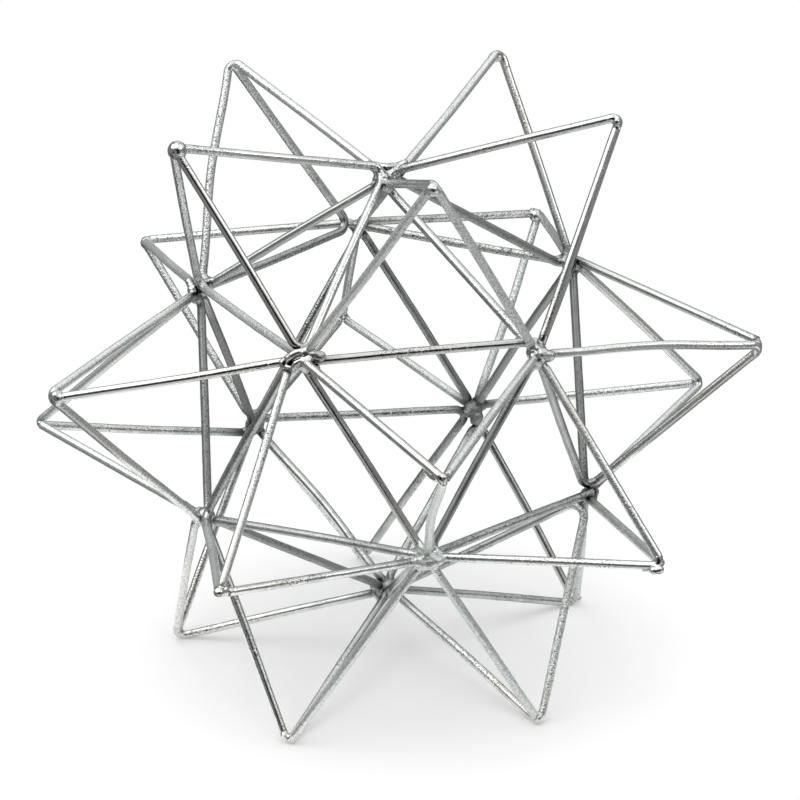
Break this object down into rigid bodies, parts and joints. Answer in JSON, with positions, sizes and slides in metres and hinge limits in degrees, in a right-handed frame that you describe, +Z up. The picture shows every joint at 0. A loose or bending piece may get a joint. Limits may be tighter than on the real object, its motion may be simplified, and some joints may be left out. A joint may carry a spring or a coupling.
{
  "type": "metal star decoration",
  "caption": "Hollow three-dimensional star of welded silver wire: open three-sided rays stand on every face of a wire core, and it rests on its lowest points as an ornament.",
  "frame": {"origin": "on the floor that the five foot points stand on, under the middle of the star's box", "axes": "+Z up, from the foot hub to the top hub; -Y towards the viewer of the picture, who stands a little to the left and above"},
  "size_m": [0.1874, 0.194, 0.1589],
  "materials": {
    "wire": "silver-plated drawn wire, satin with fine specks",
    "weld": "lumpy weld metal under the same silver plating"
  },
  "bodies": {
    "root": {"foot_hub_weld": "weld", "foot_ray_loop_1": "wire", "foot_ray_loop_2": "wire", "foot_ray_loop_3": "wire", "foot_ray_loop_4": "wire", "foot_ray_loop_5": "wire", "foot_ray_strut_1": "wire", "foot_ray_strut_2": "wire", "foot_ray_strut_3": "wire", "foot_ray_strut_4": "wire", "foot_ray_strut_5": "wire", "lower_hub_1_weld": "weld", "lower_hub_2_weld": "weld", "lower_hub_3_weld": "weld", "lower_hub_4_weld": "weld", "lower_hub_5_weld": "weld", "lower_ray_loop_1": "wire", "lower_ray_loop_2": "wire", "lower_ray_loop_3": "wire", "lower_ray_loop_4": "wire", "lower_ray_loop_5": "wire", "lower_ray_strut_1": "wire", "lower_ray_strut_2": "wire", "lower_ray_strut_3": "wire", "lower_ray_strut_4": "wire", "lower_ray_strut_5": "wire", "top_hub_weld": "weld", "top_ray_loop_1": "wire", "top_ray_loop_2": "wire", "top_ray_loop_3": "wire", "top_ray_loop_4": "wire", "top_ray_loop_5": "wire", "top_ray_strut_1": "wire", "top_ray_strut_2": "wire", "top_ray_strut_3": "wire", "top_ray_strut_4": "wire", "top_ray_strut_5": "wire", "upper_hub_1_weld": "weld", "upper_hub_2_weld": "weld", "upper_hub_3_weld": "weld", "upper_hub_4_weld": "weld", "upper_hub_5_weld": "weld", "upper_ray_loop_1": "wire", "upper_ray_loop_2": "wire", "upper_ray_loop_3": "wire", "upper_ray_loop_4": "wire", "upper_ray_loop_5": "wire", "upper_ray_strut_1": "wire", "upper_ray_strut_2": "wire", "upper_ray_strut_3": "wire", "upper_ray_strut_4": "wire", "upper_ray_strut_5": "wire"}
  },
  "joints": []
}
